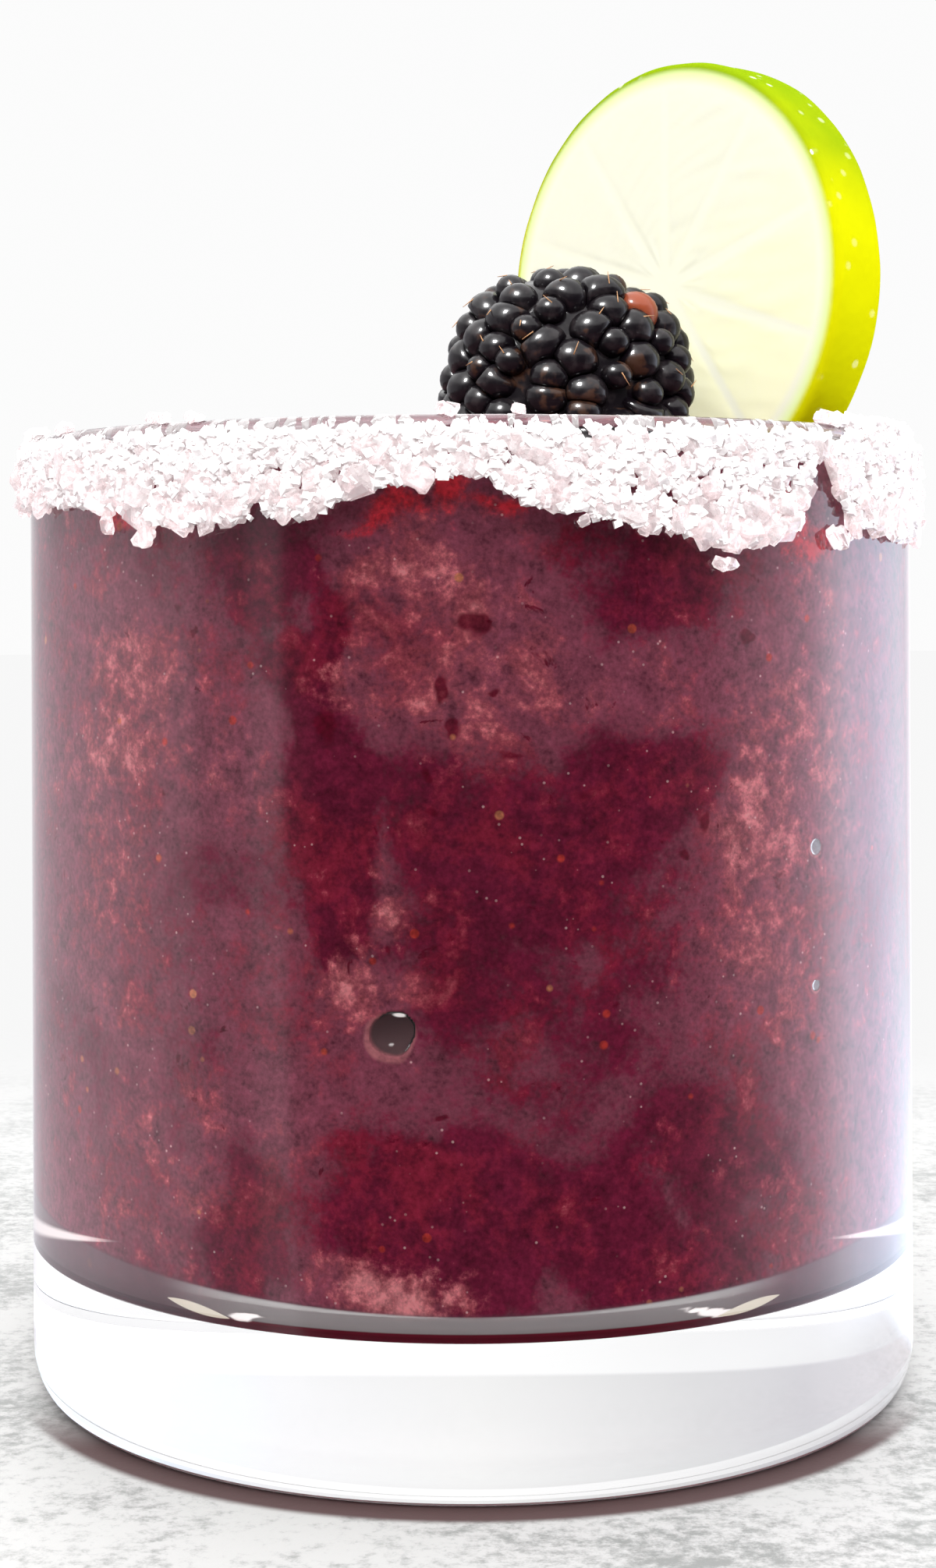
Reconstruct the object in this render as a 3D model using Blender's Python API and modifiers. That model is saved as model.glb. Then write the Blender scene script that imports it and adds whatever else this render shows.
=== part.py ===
"""A frozen berry margarita in a straight tumbler: salted rim, upright lime wheel and one bramble.

The origin is the centre of the glass's underside, +Z is up and the front faces -Y.
All lengths are metres, worked out from the sizes in millimetres below.
"""

import math
import random

import bmesh
import bpy
from mathutils import Matrix, Vector, noise

MM = 0.001
GAP = 0.3 * MM
FLAT_ANGLE = math.radians(0.5)

# The tumbler: straight wall, thick base, rounded heel and fire-polished lip
GLASS_RADIUS = 42.0 * MM
GLASS_HEIGHT = 89.0 * MM
WALL = 2.3 * MM
BASE_THICKNESS = 12.8 * MM
HEEL_WIDTH = 2.4 * MM
HEEL_HEIGHT = 4.5 * MM
HOLLOW_FILLET_WIDTH = 4.6 * MM
HOLLOW_FILLET_HEIGHT = 3.4 * MM
GLASS_STEPS = 48
BORE_RADIUS = GLASS_RADIUS - WALL

# The frozen drink, filled almost to the lip, with an uneven slushy top
DRINK_LEVEL = 87.0 * MM
DRINK_RINGS = 5
SLUSH_HEIGHT = 0.45 * MM
SLUSH_SPACING = 7.0 * MM

# The lime wheel, standing upright in the drink at the back right
LIME_RADIUS = 23.3 * MM
LIME_THICKNESS = 7.0 * MM
LIME_CENTRE = Vector((23.2, 22.0, 106.4)) * MM
LIME_TURN = math.radians(-47.8)
LIME_EDGE_ROUND = 1.0 * MM
LIME_STEPS = 48
SEGMENTS = 10
SEGMENT_INNER = 2.2 * MM
SEGMENT_OUTER = 19.4 * MM
MEMBRANE = 0.9 * MM
SEGMENT_RISE = 0.35 * MM
SEGMENT_ARC_POINTS = 6

# The bramble, half sunk in the drink at the middle, leaning a little to the right
BRAMBLE_RADIUS = 12.7 * MM
BRAMBLE_HALF_HEIGHT = 13.5 * MM
BRAMBLE_ROUNDNESS = 2.4
BRAMBLE_CENTRE = Vector((9.6, 4.0, 93.2)) * MM
BRAMBLE_LEAN = math.radians(6)
CORE_RINGS = 12
CORE_STEPS = 26
DRUPELET_RADIUS = 2.6 * MM
DRUPELET_ROWS = 7
ROW_STEP = 3.9 * MM
DRUPELET_SPREAD = 0.12
DRUPELET_SEED = 7

# The salt crust round the rim, and the coarse crystals stuck in it
SALT_GAP = 0.3 * MM
SALT_CORE = 0.4 * MM
SALT_LUMP = 0.35 * MM
SALT_LUMP_SPACING = 5.0 * MM
SALT_STEPS = 60
SALT_TOP_DROP = 1.25 * MM
CRYSTALS = 116
CRYSTAL_LARGE = 3.4 * MM
CRYSTAL_SMALL = 1.4 * MM
CRYSTAL_JITTER = 0.1
CRYSTAL_TILT = math.radians(13)
CRYSTAL_THICKNESS = (0.35, 0.50)
CRYSTAL_PROUD = (0.03, 0.12)
CLUMP_THICKNESS = (0.50, 0.75)
GOLDEN_ANGLE = 137.508
CRYSTAL_SEED = 31
# How far the crust hangs below the lip, by the angle round from the front towards the right
SALT_HANG = (
    (-105, 7.0), (-78, 6.6), (-50, 7.2), (-35, 9.2), (-20, 8.7), (-8, 6.1), (0, 5.4), (8, 8.0),
    (18, 9.6), (32, 11.0), (39, 10.4), (45, 3.4), (52, 9.4), (66, 10.2), (90, 8.2), (120, 9.4),
    (150, 7.4), (185, 9.0), (220, 7.6), (255, 7.0),
)
# Clumps that stand up on the lip: angle from the front, and size
LIP_CLUMPS = ((-2, 1.9), (4, 1.6), (49, 2.0), (-63, 1.6), (76, 1.8), (128, 1.9), (181, 1.7), (236, 2.0))


def clear_scene():
    for obj in list(bpy.data.objects):
        bpy.data.objects.remove(obj, do_unlink=True)


def new_collection(name):
    collection = bpy.data.collections.new(name)
    bpy.context.scene.collection.children.link(collection)
    return collection


def surface(name, colour, roughness, transmission=0.0, ior=1.45):
    """A Principled material of one colour."""
    material = bpy.data.materials.new(name)
    material.use_nodes = True
    shader = material.node_tree.nodes["Principled BSDF"]
    shader.inputs["Base Color"].default_value = (*colour, 1.0)
    shader.inputs["Roughness"].default_value = roughness
    shader.inputs["Metallic"].default_value = 0.0
    shader.inputs["Transmission Weight"].default_value = transmission
    shader.inputs["IOR"].default_value = ior
    material.diffuse_color = (*colour, 1.0)
    return material


def new_object(name, mesh, collection, material=None):
    obj = bpy.data.objects.new(name, mesh)
    collection.objects.link(obj)
    if material:
        mesh.materials.clear()
        mesh.materials.append(material)
    return obj


def mesh_from(shape, name):
    """Turns a bmesh into a mesh, and frees the bmesh."""
    mesh = bpy.data.meshes.new(name)
    shape.to_mesh(mesh)
    shape.free()
    return mesh


def arc(centre_x, centre_z, width, height, start, end, steps):
    """Points of an elliptical arc in the profile plane, start and end in degrees from +X."""
    points = []
    for step in range(steps + 1):
        angle = math.radians(start + (end - start) * step / steps)
        points.append((centre_x + width * math.cos(angle), centre_z + height * math.sin(angle)))
    return points


def turned(name, outline, steps, collection, material=None):
    """Spins an outline of (radius, height) points round the Z axis."""
    shape = bmesh.new()
    points = [shape.verts.new((radius, 0, height)) for radius, height in outline]
    for first, second in zip(points, points[1:]):
        shape.edges.new((first, second))
    obj = new_object(name, mesh_from(shape, name), collection, material)
    screw = obj.modifiers.new("turn", "SCREW")
    screw.steps = steps
    screw.render_steps = steps
    screw.use_merge_vertices = True
    screw.merge_threshold = 0.05 * MM
    return obj


def apply_modifiers(obj):
    """Replaces an object's mesh by the one that its modifiers make."""
    graph = bpy.context.evaluated_depsgraph_get()
    evaluated = obj.evaluated_get(graph)
    mesh = bpy.data.meshes.new_from_object(evaluated, depsgraph=graph)
    obj.modifiers.clear()
    obj.data = mesh
    return obj


def keep_largest_body(mesh):
    """Drops loose scraps and sealed hollows, which are bodies of their own."""
    shape = bmesh.new()
    shape.from_mesh(mesh)
    unseen = set(shape.verts)
    bodies = []
    while unseen:
        body = {unseen.pop()}
        edge_of_body = list(body)
        while edge_of_body:
            vert = edge_of_body.pop()
            near = {edge.other_vert(vert) for edge in vert.link_edges} & unseen
            unseen -= near
            body |= near
            edge_of_body += near
        bodies.append(body)
    bodies.sort(key=len)
    for body in bodies[:-1]:
        bmesh.ops.delete(shape, geom=list(body), context="VERTS")
    shape.to_mesh(mesh)
    shape.free()


def merge_flat_faces(mesh):
    """Joins the slivers that a Boolean leaves inside flat faces, and makes triangles again."""
    shape = bmesh.new()
    shape.from_mesh(mesh)
    bmesh.ops.dissolve_limit(shape, angle_limit=FLAT_ANGLE, verts=shape.verts, edges=shape.edges)
    bmesh.ops.triangulate(shape, faces=shape.faces)
    shape.to_mesh(mesh)
    shape.free()


def fuse(core, pieces):
    """Joins the pieces to the core with one Boolean union, and removes them."""
    loose = new_collection(core.name + "_pieces")
    for number, mesh in enumerate(pieces):
        new_object(f"{core.name}_piece_{number}", mesh, loose)
    union = core.modifiers.new("fuse", "BOOLEAN")
    union.operation = "UNION"
    union.operand_type = "COLLECTION"
    union.collection = loose
    bpy.context.view_layer.update()
    apply_modifiers(core)
    for obj in list(loose.objects):
        bpy.data.objects.remove(obj, do_unlink=True)
    bpy.data.collections.remove(loose)
    keep_largest_body(core.data)
    merge_flat_faces(core.data)


def cut(obj, cutter):
    """Cuts one object from another and hides the cutter."""
    cutter.hide_render = True
    cutter.display_type = "WIRE"
    modifier = obj.modifiers.new("cut_" + cutter.name, "BOOLEAN")
    modifier.operation = "DIFFERENCE"
    modifier.object = cutter
    return modifier


def smooth(obj, angle):
    obj.data.shade_smooth()
    obj.data.set_sharp_from_angle(angle=math.radians(angle))


def glass_outer(grow=0.0):
    """The tumbler's outside from lip to underside, moved outwards by grow."""
    lip = WALL / 2
    heel_x = GLASS_RADIUS - HEEL_WIDTH
    points = arc(GLASS_RADIUS - lip, GLASS_HEIGHT - lip, lip + grow, lip + grow, 90, 0, 3)
    points += arc(heel_x, HEEL_HEIGHT, HEEL_WIDTH + grow, HEEL_HEIGHT + grow, 0, -90, 4)
    return points


def glass_inner(grow=0.0):
    """The tumbler's inside from the middle of its floor up to the lip, moved into the hollow by grow."""
    fillet_x = BORE_RADIUS - HOLLOW_FILLET_WIDTH
    fillet_z = BASE_THICKNESS + HOLLOW_FILLET_HEIGHT
    lip = WALL / 2
    points = [(0.0, BASE_THICKNESS + grow)]
    points += arc(fillet_x, fillet_z, HOLLOW_FILLET_WIDTH - grow, HOLLOW_FILLET_HEIGHT - grow, -90, 0, 4)
    points += arc(GLASS_RADIUS - lip, GLASS_HEIGHT - lip, lip + grow, lip + grow, 180, 90, 3)
    return points


def build_glass(collection):
    outline = glass_inner() + glass_outer()[1:] + [(0.0, 0.0)]
    clear = surface("clear_glass", (0.94, 0.95, 0.96), roughness=0.03, transmission=1.0, ior=1.5)
    glass = turned("glass", outline, GLASS_STEPS, collection, clear)
    smooth(glass, 40)
    return glass


def slush_top(x, y):
    """The height of the drink's uneven top at a point."""
    spot = Vector((x, y, 0)) / SLUSH_SPACING
    return DRINK_LEVEL + SLUSH_HEIGHT * (noise.noise(spot) + 0.5 * noise.noise(spot * 2.3))


def build_drink(collection):
    wall = BORE_RADIUS - GAP
    outline = [(wall * ring / DRINK_RINGS, DRINK_LEVEL) for ring in range(DRINK_RINGS + 1)]
    below_top = DRINK_LEVEL - HOLLOW_FILLET_HEIGHT
    outline += [(radius, height) for radius, height in reversed(glass_inner(GAP)) if height < below_top]
    slush = surface("berry_slush", (0.20, 0.02, 0.05), roughness=0.25)
    drink = turned("drink", outline, GLASS_STEPS, collection, slush)
    apply_modifiers(drink)
    for vert in drink.data.vertices:
        if vert.co.z > DRINK_LEVEL - GAP:
            vert.co.z = slush_top(vert.co.x, vert.co.y)
    smooth(drink, 40)
    return drink


def lime_place():
    """Local X lies along the wheel's face, local Y points away from the viewer's side."""
    return Matrix.Translation(LIME_CENTRE) @ Matrix.Rotation(LIME_TURN, 4, "Z")


def wheel_outline(grow=0.0):
    """Half of the wheel's section, from the middle of one cut face to the middle of the other."""
    half = LIME_THICKNESS / 2 + grow
    rim = LIME_RADIUS + grow
    edge = LIME_EDGE_ROUND
    points = [(0.0, half)]
    points += arc(rim - edge, half - edge, edge, edge, 90, 0, 3)
    points += arc(rim - edge, edge - half, edge, edge, 0, -90, 3)
    points.append((0.0, -half))
    return points


def segment_pad(number, side):
    """One wedge of flesh, standing a little proud of a cut face."""
    half_angle = math.pi / SEGMENTS
    turn = 2 * half_angle * number
    corners = []
    for step in range(SEGMENT_ARC_POINTS):
        spread = half_angle - MEMBRANE / 2 / SEGMENT_OUTER
        angle = -spread + 2 * spread * step / (SEGMENT_ARC_POINTS - 1)
        corners.append((SEGMENT_OUTER * math.cos(angle), SEGMENT_OUTER * math.sin(angle)))
    tip = SEGMENT_INNER + MEMBRANE / 2 / math.sin(half_angle)
    corners.append((tip, 0.0))
    shape = bmesh.new()
    low = LIME_THICKNESS / 2 - SEGMENT_RISE
    face = shape.faces.new([shape.verts.new((x, y, low)) for x, y in corners])
    raised = bmesh.ops.extrude_face_region(shape, geom=[face])
    top = [item for item in raised["geom"] if isinstance(item, bmesh.types.BMVert)]
    bmesh.ops.translate(shape, verts=top, vec=(0, 0, 2 * SEGMENT_RISE))
    bmesh.ops.rotate(shape, verts=shape.verts, matrix=Matrix.Rotation(turn, 3, "Z"))
    if side < 0:
        bmesh.ops.rotate(shape, verts=shape.verts, matrix=Matrix.Rotation(math.pi, 3, "X"))
    bmesh.ops.recalc_face_normals(shape, faces=shape.faces)
    return mesh_from(shape, "segment")


def build_lime(collection):
    moist = surface("lime", (0.72, 0.82, 0.25), roughness=0.35)
    lime = turned("lime_wheel", wheel_outline(), LIME_STEPS, collection, moist)
    apply_modifiers(lime)
    pads = [segment_pad(number, side) for side in (1, -1) for number in range(SEGMENTS)]
    fuse(lime, pads)
    upright = Matrix.Rotation(math.radians(90), 4, "X")
    lime.data.transform(upright)
    lime.matrix_world = lime_place()
    smooth(lime, 35)
    return lime


def lime_pocket(collection):
    """The space that the wheel takes up in the drink."""
    pocket = turned("lime_pocket", wheel_outline(GAP + SEGMENT_RISE), LIME_STEPS, collection)
    pocket.matrix_world = lime_place() @ Matrix.Rotation(math.radians(90), 4, "X")
    return pocket


def bramble_radius(height, grow=0.0):
    """The bramble's outer radius at a height above its middle."""
    reach = min(abs(height) / (BRAMBLE_HALF_HEIGHT + grow), 1.0)
    return (BRAMBLE_RADIUS + grow) * (1 - reach**BRAMBLE_ROUNDNESS) ** (1 / BRAMBLE_ROUNDNESS)


def bramble_outline(grow, rings):
    """The smooth form inside or round the drupelets, top to bottom."""
    points = []
    for ring in range(rings + 1):
        height = (BRAMBLE_HALF_HEIGHT + grow) * math.cos(math.pi * ring / rings)
        points.append((bramble_radius(height, grow), height))
    return points


def bramble_place():
    return Matrix.Translation(BRAMBLE_CENTRE) @ Matrix.Rotation(BRAMBLE_LEAN, 4, "Y")


def drupelets():
    """Round drupelets in staggered rows, from the tip down to the drink."""
    draw = random.Random(DRUPELET_SEED)
    meshes = []
    inside = BRAMBLE_RADIUS - DRUPELET_RADIUS
    for row in range(DRUPELET_ROWS):
        from_tip = math.radians(90) - row * ROW_STEP / (BRAMBLE_RADIUS - DRUPELET_RADIUS / 2)
        height = (BRAMBLE_HALF_HEIGHT - DRUPELET_RADIUS) * math.sin(from_tip)
        reach = inside * bramble_radius(height * 1.15) / BRAMBLE_RADIUS if row else 0.0
        count = max(1, round(2 * math.pi * reach / (1.72 * DRUPELET_RADIUS)))
        for number in range(count):
            angle = 2 * math.pi * (number + 0.5 * (row % 2) + DRUPELET_SPREAD * draw.uniform(-1, 1)) / count
            radius = DRUPELET_RADIUS * (1 - DRUPELET_SPREAD * draw.random())
            spot = Vector((reach * math.cos(angle), reach * math.sin(angle), height))
            outwards = Matrix.Translation(spot) @ spot.to_track_quat("Z", "Y").to_matrix().to_4x4()
            shape = bmesh.new()
            bmesh.ops.create_uvsphere(shape, u_segments=7, v_segments=4, radius=radius, matrix=outwards)
            meshes.append(mesh_from(shape, "drupelet"))
    return meshes


def build_bramble(collection):
    glossy = surface("bramble", (0.02, 0.012, 0.02), roughness=0.2)
    inside = bramble_outline(-0.6 * DRUPELET_RADIUS, CORE_RINGS)
    bramble = turned("bramble", inside, CORE_STEPS, collection, glossy)
    apply_modifiers(bramble)
    fuse(bramble, drupelets())
    bramble.matrix_world = bramble_place()
    smooth(bramble, 50)
    return bramble


def bramble_pocket(collection):
    """The space that the bramble takes up in the drink."""
    pocket = turned("bramble_pocket", bramble_outline(GAP, CORE_RINGS), CORE_STEPS, collection)
    pocket.matrix_world = bramble_place()
    return pocket


def salt_hang(angle):
    """How far the crust hangs below the lip at an angle in degrees, on a smooth curve through its points."""
    start = SALT_HANG[0][0]
    angle = start + (angle - start) % 360
    ends = SALT_HANG + ((start + 360, SALT_HANG[0][1]),)
    for (low, low_hang), (high, high_hang) in zip(ends, ends[1:]):
        if angle <= high:
            part = (angle - low) / (high - low)
            part = part * part * (3 - 2 * part)
            return (low_hang + (high_hang - low_hang) * part) * MM
    return ends[-1][1] * MM


def at_rim(angle, radius, height):
    """A point by its angle in degrees from the front, its radius and its height."""
    turn = math.radians(angle - 90)
    return Vector((radius * math.cos(turn), radius * math.sin(turn), height))


def salt_core(collection):
    """The crust without its crystals: a thin band that follows the uneven lower edge."""
    rows = 2
    inner = GLASS_RADIUS + SALT_GAP + SALT_CORE / 2
    outline = [(inner, -row / rows) for row in range(rows + 1)]
    white = surface("salt", (0.93, 0.93, 0.92), roughness=0.45)
    core = turned("salt_rim", outline, SALT_STEPS, collection, white)
    apply_modifiers(core)
    for vert in core.data.vertices:
        angle = math.degrees(math.atan2(vert.co.y, vert.co.x)) + 90
        hang = salt_hang(angle) - CRYSTAL_SMALL / 2
        vert.co.z = GLASS_HEIGHT - SALT_TOP_DROP + vert.co.z * (hang - SALT_TOP_DROP)
    shell = core.modifiers.new("thickness", "SOLIDIFY")
    shell.thickness = SALT_CORE
    shell.offset = 0.0
    apply_modifiers(core)
    for vert in core.data.vertices:
        around = Vector((vert.co.x, vert.co.y, 0))
        if around.length > inner:
            rise = 0.5 + noise.noise(vert.co / SALT_LUMP_SPACING)
            vert.co += around.normalized() * SALT_LUMP * max(rise, 0)
    return core


def clear_of_glass(point):
    """Moves a point out from the tumbler's wall or lip until it keeps the gap."""
    lip = WALL / 2
    around = Vector((point.x, point.y, 0))
    away = Vector((around.length - (GLASS_RADIUS - lip), max(point.z - (GLASS_HEIGHT - lip), 0)))
    short = lip + SALT_GAP - away.length
    if short > 0:
        away = away.normalized() * short
        point += around.normalized() * away.x + Vector((0, 0, away.y))


def crystal(draw, angle, down, size, proud, thickness):
    """A blocky grain of salt that lies on the glass, its corners a little out of square."""
    shape = bmesh.new()
    bmesh.ops.create_cube(shape, size=size)
    sides = Vector((1.0, draw.uniform(0.7, 1.0), draw.uniform(*thickness)))
    bmesh.ops.scale(shape, vec=sides, verts=shape.verts)
    for vert in shape.verts:
        vert.co += Vector([draw.uniform(-1, 1) for _ in range(3)]) * size * CRYSTAL_JITTER
    bmesh.ops.triangulate(shape, faces=shape.faces)
    spot = at_rim(angle, GLASS_RADIUS + SALT_GAP + SALT_CORE + size * proud, GLASS_HEIGHT - down)
    outwards = Vector((spot.x, spot.y, 0)).to_track_quat("Z", "Y").to_matrix().to_4x4()
    turn = Matrix.Translation(spot) @ outwards
    turn @= Matrix.Rotation(draw.gauss(0, CRYSTAL_TILT), 4, "X")
    turn @= Matrix.Rotation(draw.gauss(0, CRYSTAL_TILT), 4, "Y")
    turn @= Matrix.Rotation(draw.uniform(0, math.tau), 4, "Z")
    bmesh.ops.transform(shape, matrix=turn, verts=shape.verts)
    for vert in shape.verts:
        clear_of_glass(vert.co)
    bmesh.ops.recalc_face_normals(shape, faces=shape.faces)
    return mesh_from(shape, "crystal")


def crystals():
    """Coarse grains all round, the largest first and along the lower edge, and clumps on the lip."""
    draw = random.Random(CRYSTAL_SEED)
    meshes = []
    for number in range(CRYSTALS):
        share = number / CRYSTALS
        size = CRYSTAL_LARGE + (CRYSTAL_SMALL - CRYSTAL_LARGE) * share**0.6
        angle = number * GOLDEN_ANGLE + draw.uniform(-2, 2)
        lowest = salt_hang(angle) - size * 0.45
        highest = SALT_TOP_DROP + size * 0.4
        down = highest + (lowest - highest) * (1 - min(1.4 * share, 1) * draw.random())
        proud = draw.uniform(*CRYSTAL_PROUD)
        meshes.append(crystal(draw, angle, down, size, proud, CRYSTAL_THICKNESS))
    for angle, size in LIP_CLUMPS:
        for step in range(2):
            part = size * (0.95 - 0.2 * step) * MM
            down = SALT_TOP_DROP - size * MM * (0.1 + 0.33 * step)
            aside = angle + draw.uniform(-1.2, 1.2)
            meshes.append(crystal(draw, aside, down, part, -0.12 * step, CLUMP_THICKNESS))
    return meshes


def build_salt(collection):
    salt = salt_core(collection)
    fuse(salt, crystals())


def main():
    clear_scene()
    drink_set = new_collection("margarita")
    cutters = new_collection("cutters")
    build_glass(drink_set)
    build_salt(drink_set)
    build_lime(drink_set)
    build_bramble(drink_set)
    drink = build_drink(drink_set)
    cut(drink, lime_pocket(cutters))
    cut(drink, bramble_pocket(cutters))


main()
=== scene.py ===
"""The looks of a frozen berry margarita in a straight tumbler, with its salted rim, lime wheel and bramble.

A Blender 4.5 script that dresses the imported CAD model. Metres, +Z is up and the front faces -Y.
Angles round the glass are in degrees from the front towards +X.
"""

import math
import random

import bmesh
import bpy
from mathutils import Matrix, Vector, noise


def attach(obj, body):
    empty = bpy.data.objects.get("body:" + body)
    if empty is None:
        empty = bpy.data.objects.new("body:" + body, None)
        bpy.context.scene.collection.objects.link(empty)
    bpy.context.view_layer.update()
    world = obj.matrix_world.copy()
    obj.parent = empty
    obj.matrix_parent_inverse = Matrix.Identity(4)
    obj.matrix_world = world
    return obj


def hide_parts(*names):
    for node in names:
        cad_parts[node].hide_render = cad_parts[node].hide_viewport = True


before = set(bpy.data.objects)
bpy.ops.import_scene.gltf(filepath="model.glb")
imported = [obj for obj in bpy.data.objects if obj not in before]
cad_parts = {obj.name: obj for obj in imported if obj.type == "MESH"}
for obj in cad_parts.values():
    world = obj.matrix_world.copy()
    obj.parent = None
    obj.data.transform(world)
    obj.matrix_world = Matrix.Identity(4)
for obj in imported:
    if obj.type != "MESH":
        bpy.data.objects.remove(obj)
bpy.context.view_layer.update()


# The view: a level close-up of the front from a little above the middle of the glass, with the camera a touch
# out of level. The shift frames the glass low in the tall picture, and the tones are left as bright as they are.
MM = 0.001
PICTURE_HEIGHT = 2011
FOCAL_LENGTH = 3306
HORIZON = 760
SENSOR = 36.0
CAMERA_PLACE = Vector((-0.2, -250.0, 74.5)) * MM
CAMERA_ROLL = 0.0045

view = bpy.data.cameras.new("view")
view.sensor_width = SENSOR
view.lens = FOCAL_LENGTH / PICTURE_HEIGHT * SENSOR
view.shift_y = (HORIZON - PICTURE_HEIGHT / 2) / PICTURE_HEIGHT
view.clip_start = 10 * MM
camera = bpy.data.objects.new("camera", view)
camera.location = CAMERA_PLACE
camera.rotation_euler = (math.pi / 2, CAMERA_ROLL, 0)
bpy.context.scene.collection.objects.link(camera)
bpy.context.scene.camera = camera
bpy.context.scene.view_settings.view_transform = "Standard"


# Daylight: a white wall behind, windows low at both sides, the right one the brighter and bluer, a dim room behind
# the camera and bright soft light from above. A small lamp high at the left gives the fruit its glints, and a wide soft
# one in front lights what stands outside the glass.
BACKDROP = 0.97
# The light at eye level round the glass: angle from the front towards +X in degrees, and colour
AROUND = (
    (-180, (1.20, 1.20, 1.20)), (-162, (0.96, 0.96, 0.98)), (-148, (0.86, 0.85, 0.90)), (-125, (1.05, 1.02, 1.08)),
    (-106, (1.30, 1.25, 1.32)), (-86, (1.15, 1.10, 1.15)), (-76, (1.05, 1.00, 1.05)), (-70, (0.55, 0.52, 0.55)),
    (-59, (0.45, 0.44, 0.46)), (-55, (0.75, 0.73, 0.76)), (-49, (0.75, 0.73, 0.76)), (-46, (0.18, 0.18, 0.18)),
    (-38, (0.05, 0.05, 0.05)), (44, (0.05, 0.05, 0.05)), (60, (0.22, 0.22, 0.23)), (76, (0.98, 0.98, 1.05)),
    (85, (1.45, 1.45, 1.60)), (95, (2.3, 2.3, 2.6)), (103, (3.3, 3.5, 4.0)), (110, (3.5, 3.9, 4.6)),
    (118, (3.1, 3.5, 4.2)), (130, (2.6, 2.95, 3.5)), (140, (1.95, 2.3, 2.6)), (152, (1.30, 1.40, 1.55)),
    (165, (1.26, 1.26, 1.29)), (180, (1.20, 1.20, 1.20)),
)
ABOVE = (3.0, 3.0, 3.0)
ABOVE_RISE = (0.30, 0.52)
GLINT_PLACE = Vector((-0.22, -0.36, 0.55))
GLINT_SIZE = 0.16
GLINT_POWER = 40.0
FILL_PLACE = Vector((0.0, -0.7, 0.5))
FILL_SIZE = 0.6
FILL_POWER = 14.0


class Value:
    """A shader socket that works in Python arithmetic: each operation adds a Math node."""

    def __init__(self, tree, socket):
        self.tree = tree
        self.socket = socket

    def node(self, kind, settings=None, inputs=None, output=0):
        """Adds a node: first its settings and a ramp's stops, then the values or links of its sockets."""
        node = self.tree.nodes.new("ShaderNode" + kind)
        for name, setting in (settings or {}).items():
            if name == "stops":
                ramp = node.color_ramp.elements
                while len(ramp) < len(setting):
                    ramp.new(1.0)
                for element, (position, colour) in zip(ramp, setting):
                    element.position = position
                    element.color = (*colour, 1.0)
            else:
                setattr(node, name, setting)
        for name, value in (inputs or {}).items():
            socket = node.inputs[name]
            if isinstance(value, Value):
                self.tree.links.new(value.socket, socket)
            elif socket.type == "RGBA" and len(value) == 3:
                socket.default_value = (*value, 1.0)
            else:
                socket.default_value = value
        return Value(self.tree, node.outputs[output])

    def maths(self, operation, first, second=0.0):
        return self.node("Math", {"operation": operation}, {0: first, 1: second})

    def __add__(self, other):
        return self.maths("ADD", self, other)

    def __sub__(self, other):
        return self.maths("SUBTRACT", self, other)

    def __rsub__(self, other):
        return self.maths("SUBTRACT", other, self)

    def __mul__(self, other):
        return self.maths("MULTIPLY", self, other)

    def __truediv__(self, other):
        return self.maths("DIVIDE", self, other)

    def __pow__(self, other):
        return self.maths("POWER", self, other)

    __radd__ = __add__
    __rmul__ = __mul__

    def axes(self):
        """The three numbers of a vector."""
        first = self.node("SeparateXYZ", inputs={0: self})
        return [Value(self.tree, socket) for socket in first.socket.node.outputs]

    def step(self, low, high):
        """Rises smoothly from 0 to 1 as the value goes from low to high, or falls where low is the larger."""
        if low > high:
            return 1 - self.step(high, low)
        return self.node("MapRange", {"interpolation_type": "SMOOTHSTEP"}, {0: self, 1: low, 2: high})

    def between(self, first, second):
        """A colour mixed from two, with this value as the share of the second."""
        return self.node("Mix", {"data_type": "RGBA"}, {0: self, 6: first, 7: second}, output=2)

    def noise(self, size, detail=2.0, roughness=0.5, output="Fac"):
        """Cloudy noise about the size of one cloud, on this value as a vector."""
        inputs = {"Vector": self, "Scale": 1 / size, "Detail": detail, "Roughness": roughness}
        return self.node("TexNoise", inputs=inputs, output=output)

    def swirled(self, size, reach):
        """This value as a vector, pushed about by up to half of reach in clouds of the size given."""
        push = self.noise(size, output="Color")
        pushed = self.node("VectorMath", {"operation": "MULTIPLY_ADD"}, {0: push, 1: (reach, reach, reach), 2: self})
        return pushed

    def cells(self, size, output="Distance", feature="F1"):
        """Voronoi cells about the size given, on this value as a vector."""
        return self.node("TexVoronoi", {"feature": feature}, {"Vector": self, "Scale": 1 / size}, output)

    def to(self, socket):
        self.tree.links.new(self.socket, socket)


def coordinates(tree, output):
    """The points or directions that a pattern starts from."""
    return Value(tree, tree.nodes.new("ShaderNodeTexCoord").outputs[output])


def light_around(across, along):
    """The colour of the light at eye level in the direction of a point, seen from the glass."""
    angle = across.maths("ARCTAN2", across, 0 - along)
    stops = [((degrees + 180) / 360, colour) for degrees, colour in AROUND]
    return angle.node("ValToRGB", {"stops": stops}, {"Fac": angle / math.tau + 0.5})


world = bpy.data.worlds.new("daylight")
bpy.context.scene.world = world
world.use_nodes = True
sky = world.node_tree.nodes["Background"]
right, away, up = coordinates(world.node_tree, "Generated").axes()
seen = right.node("LightPath", output="Is Camera Ray")
light = up.step(*ABOVE_RISE).between(light_around(right, away), ABOVE)
seen.between(light, (BACKDROP, BACKDROP, BACKDROP)).to(sky.inputs["Color"])


def lamp(name, place, size, power):
    """A square area lamp that faces the top of the glass."""
    source = bpy.data.lights.new(name, "AREA")
    source.size = size
    source.energy = power
    holder = bpy.data.objects.new(name, source)
    holder.location = place
    holder.rotation_euler = (place - Vector((0, 0, 90 * MM))).to_track_quat("Z", "Y").to_euler()
    holder.visible_transmission = False
    bpy.context.scene.collection.objects.link(holder)
    return holder


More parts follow.
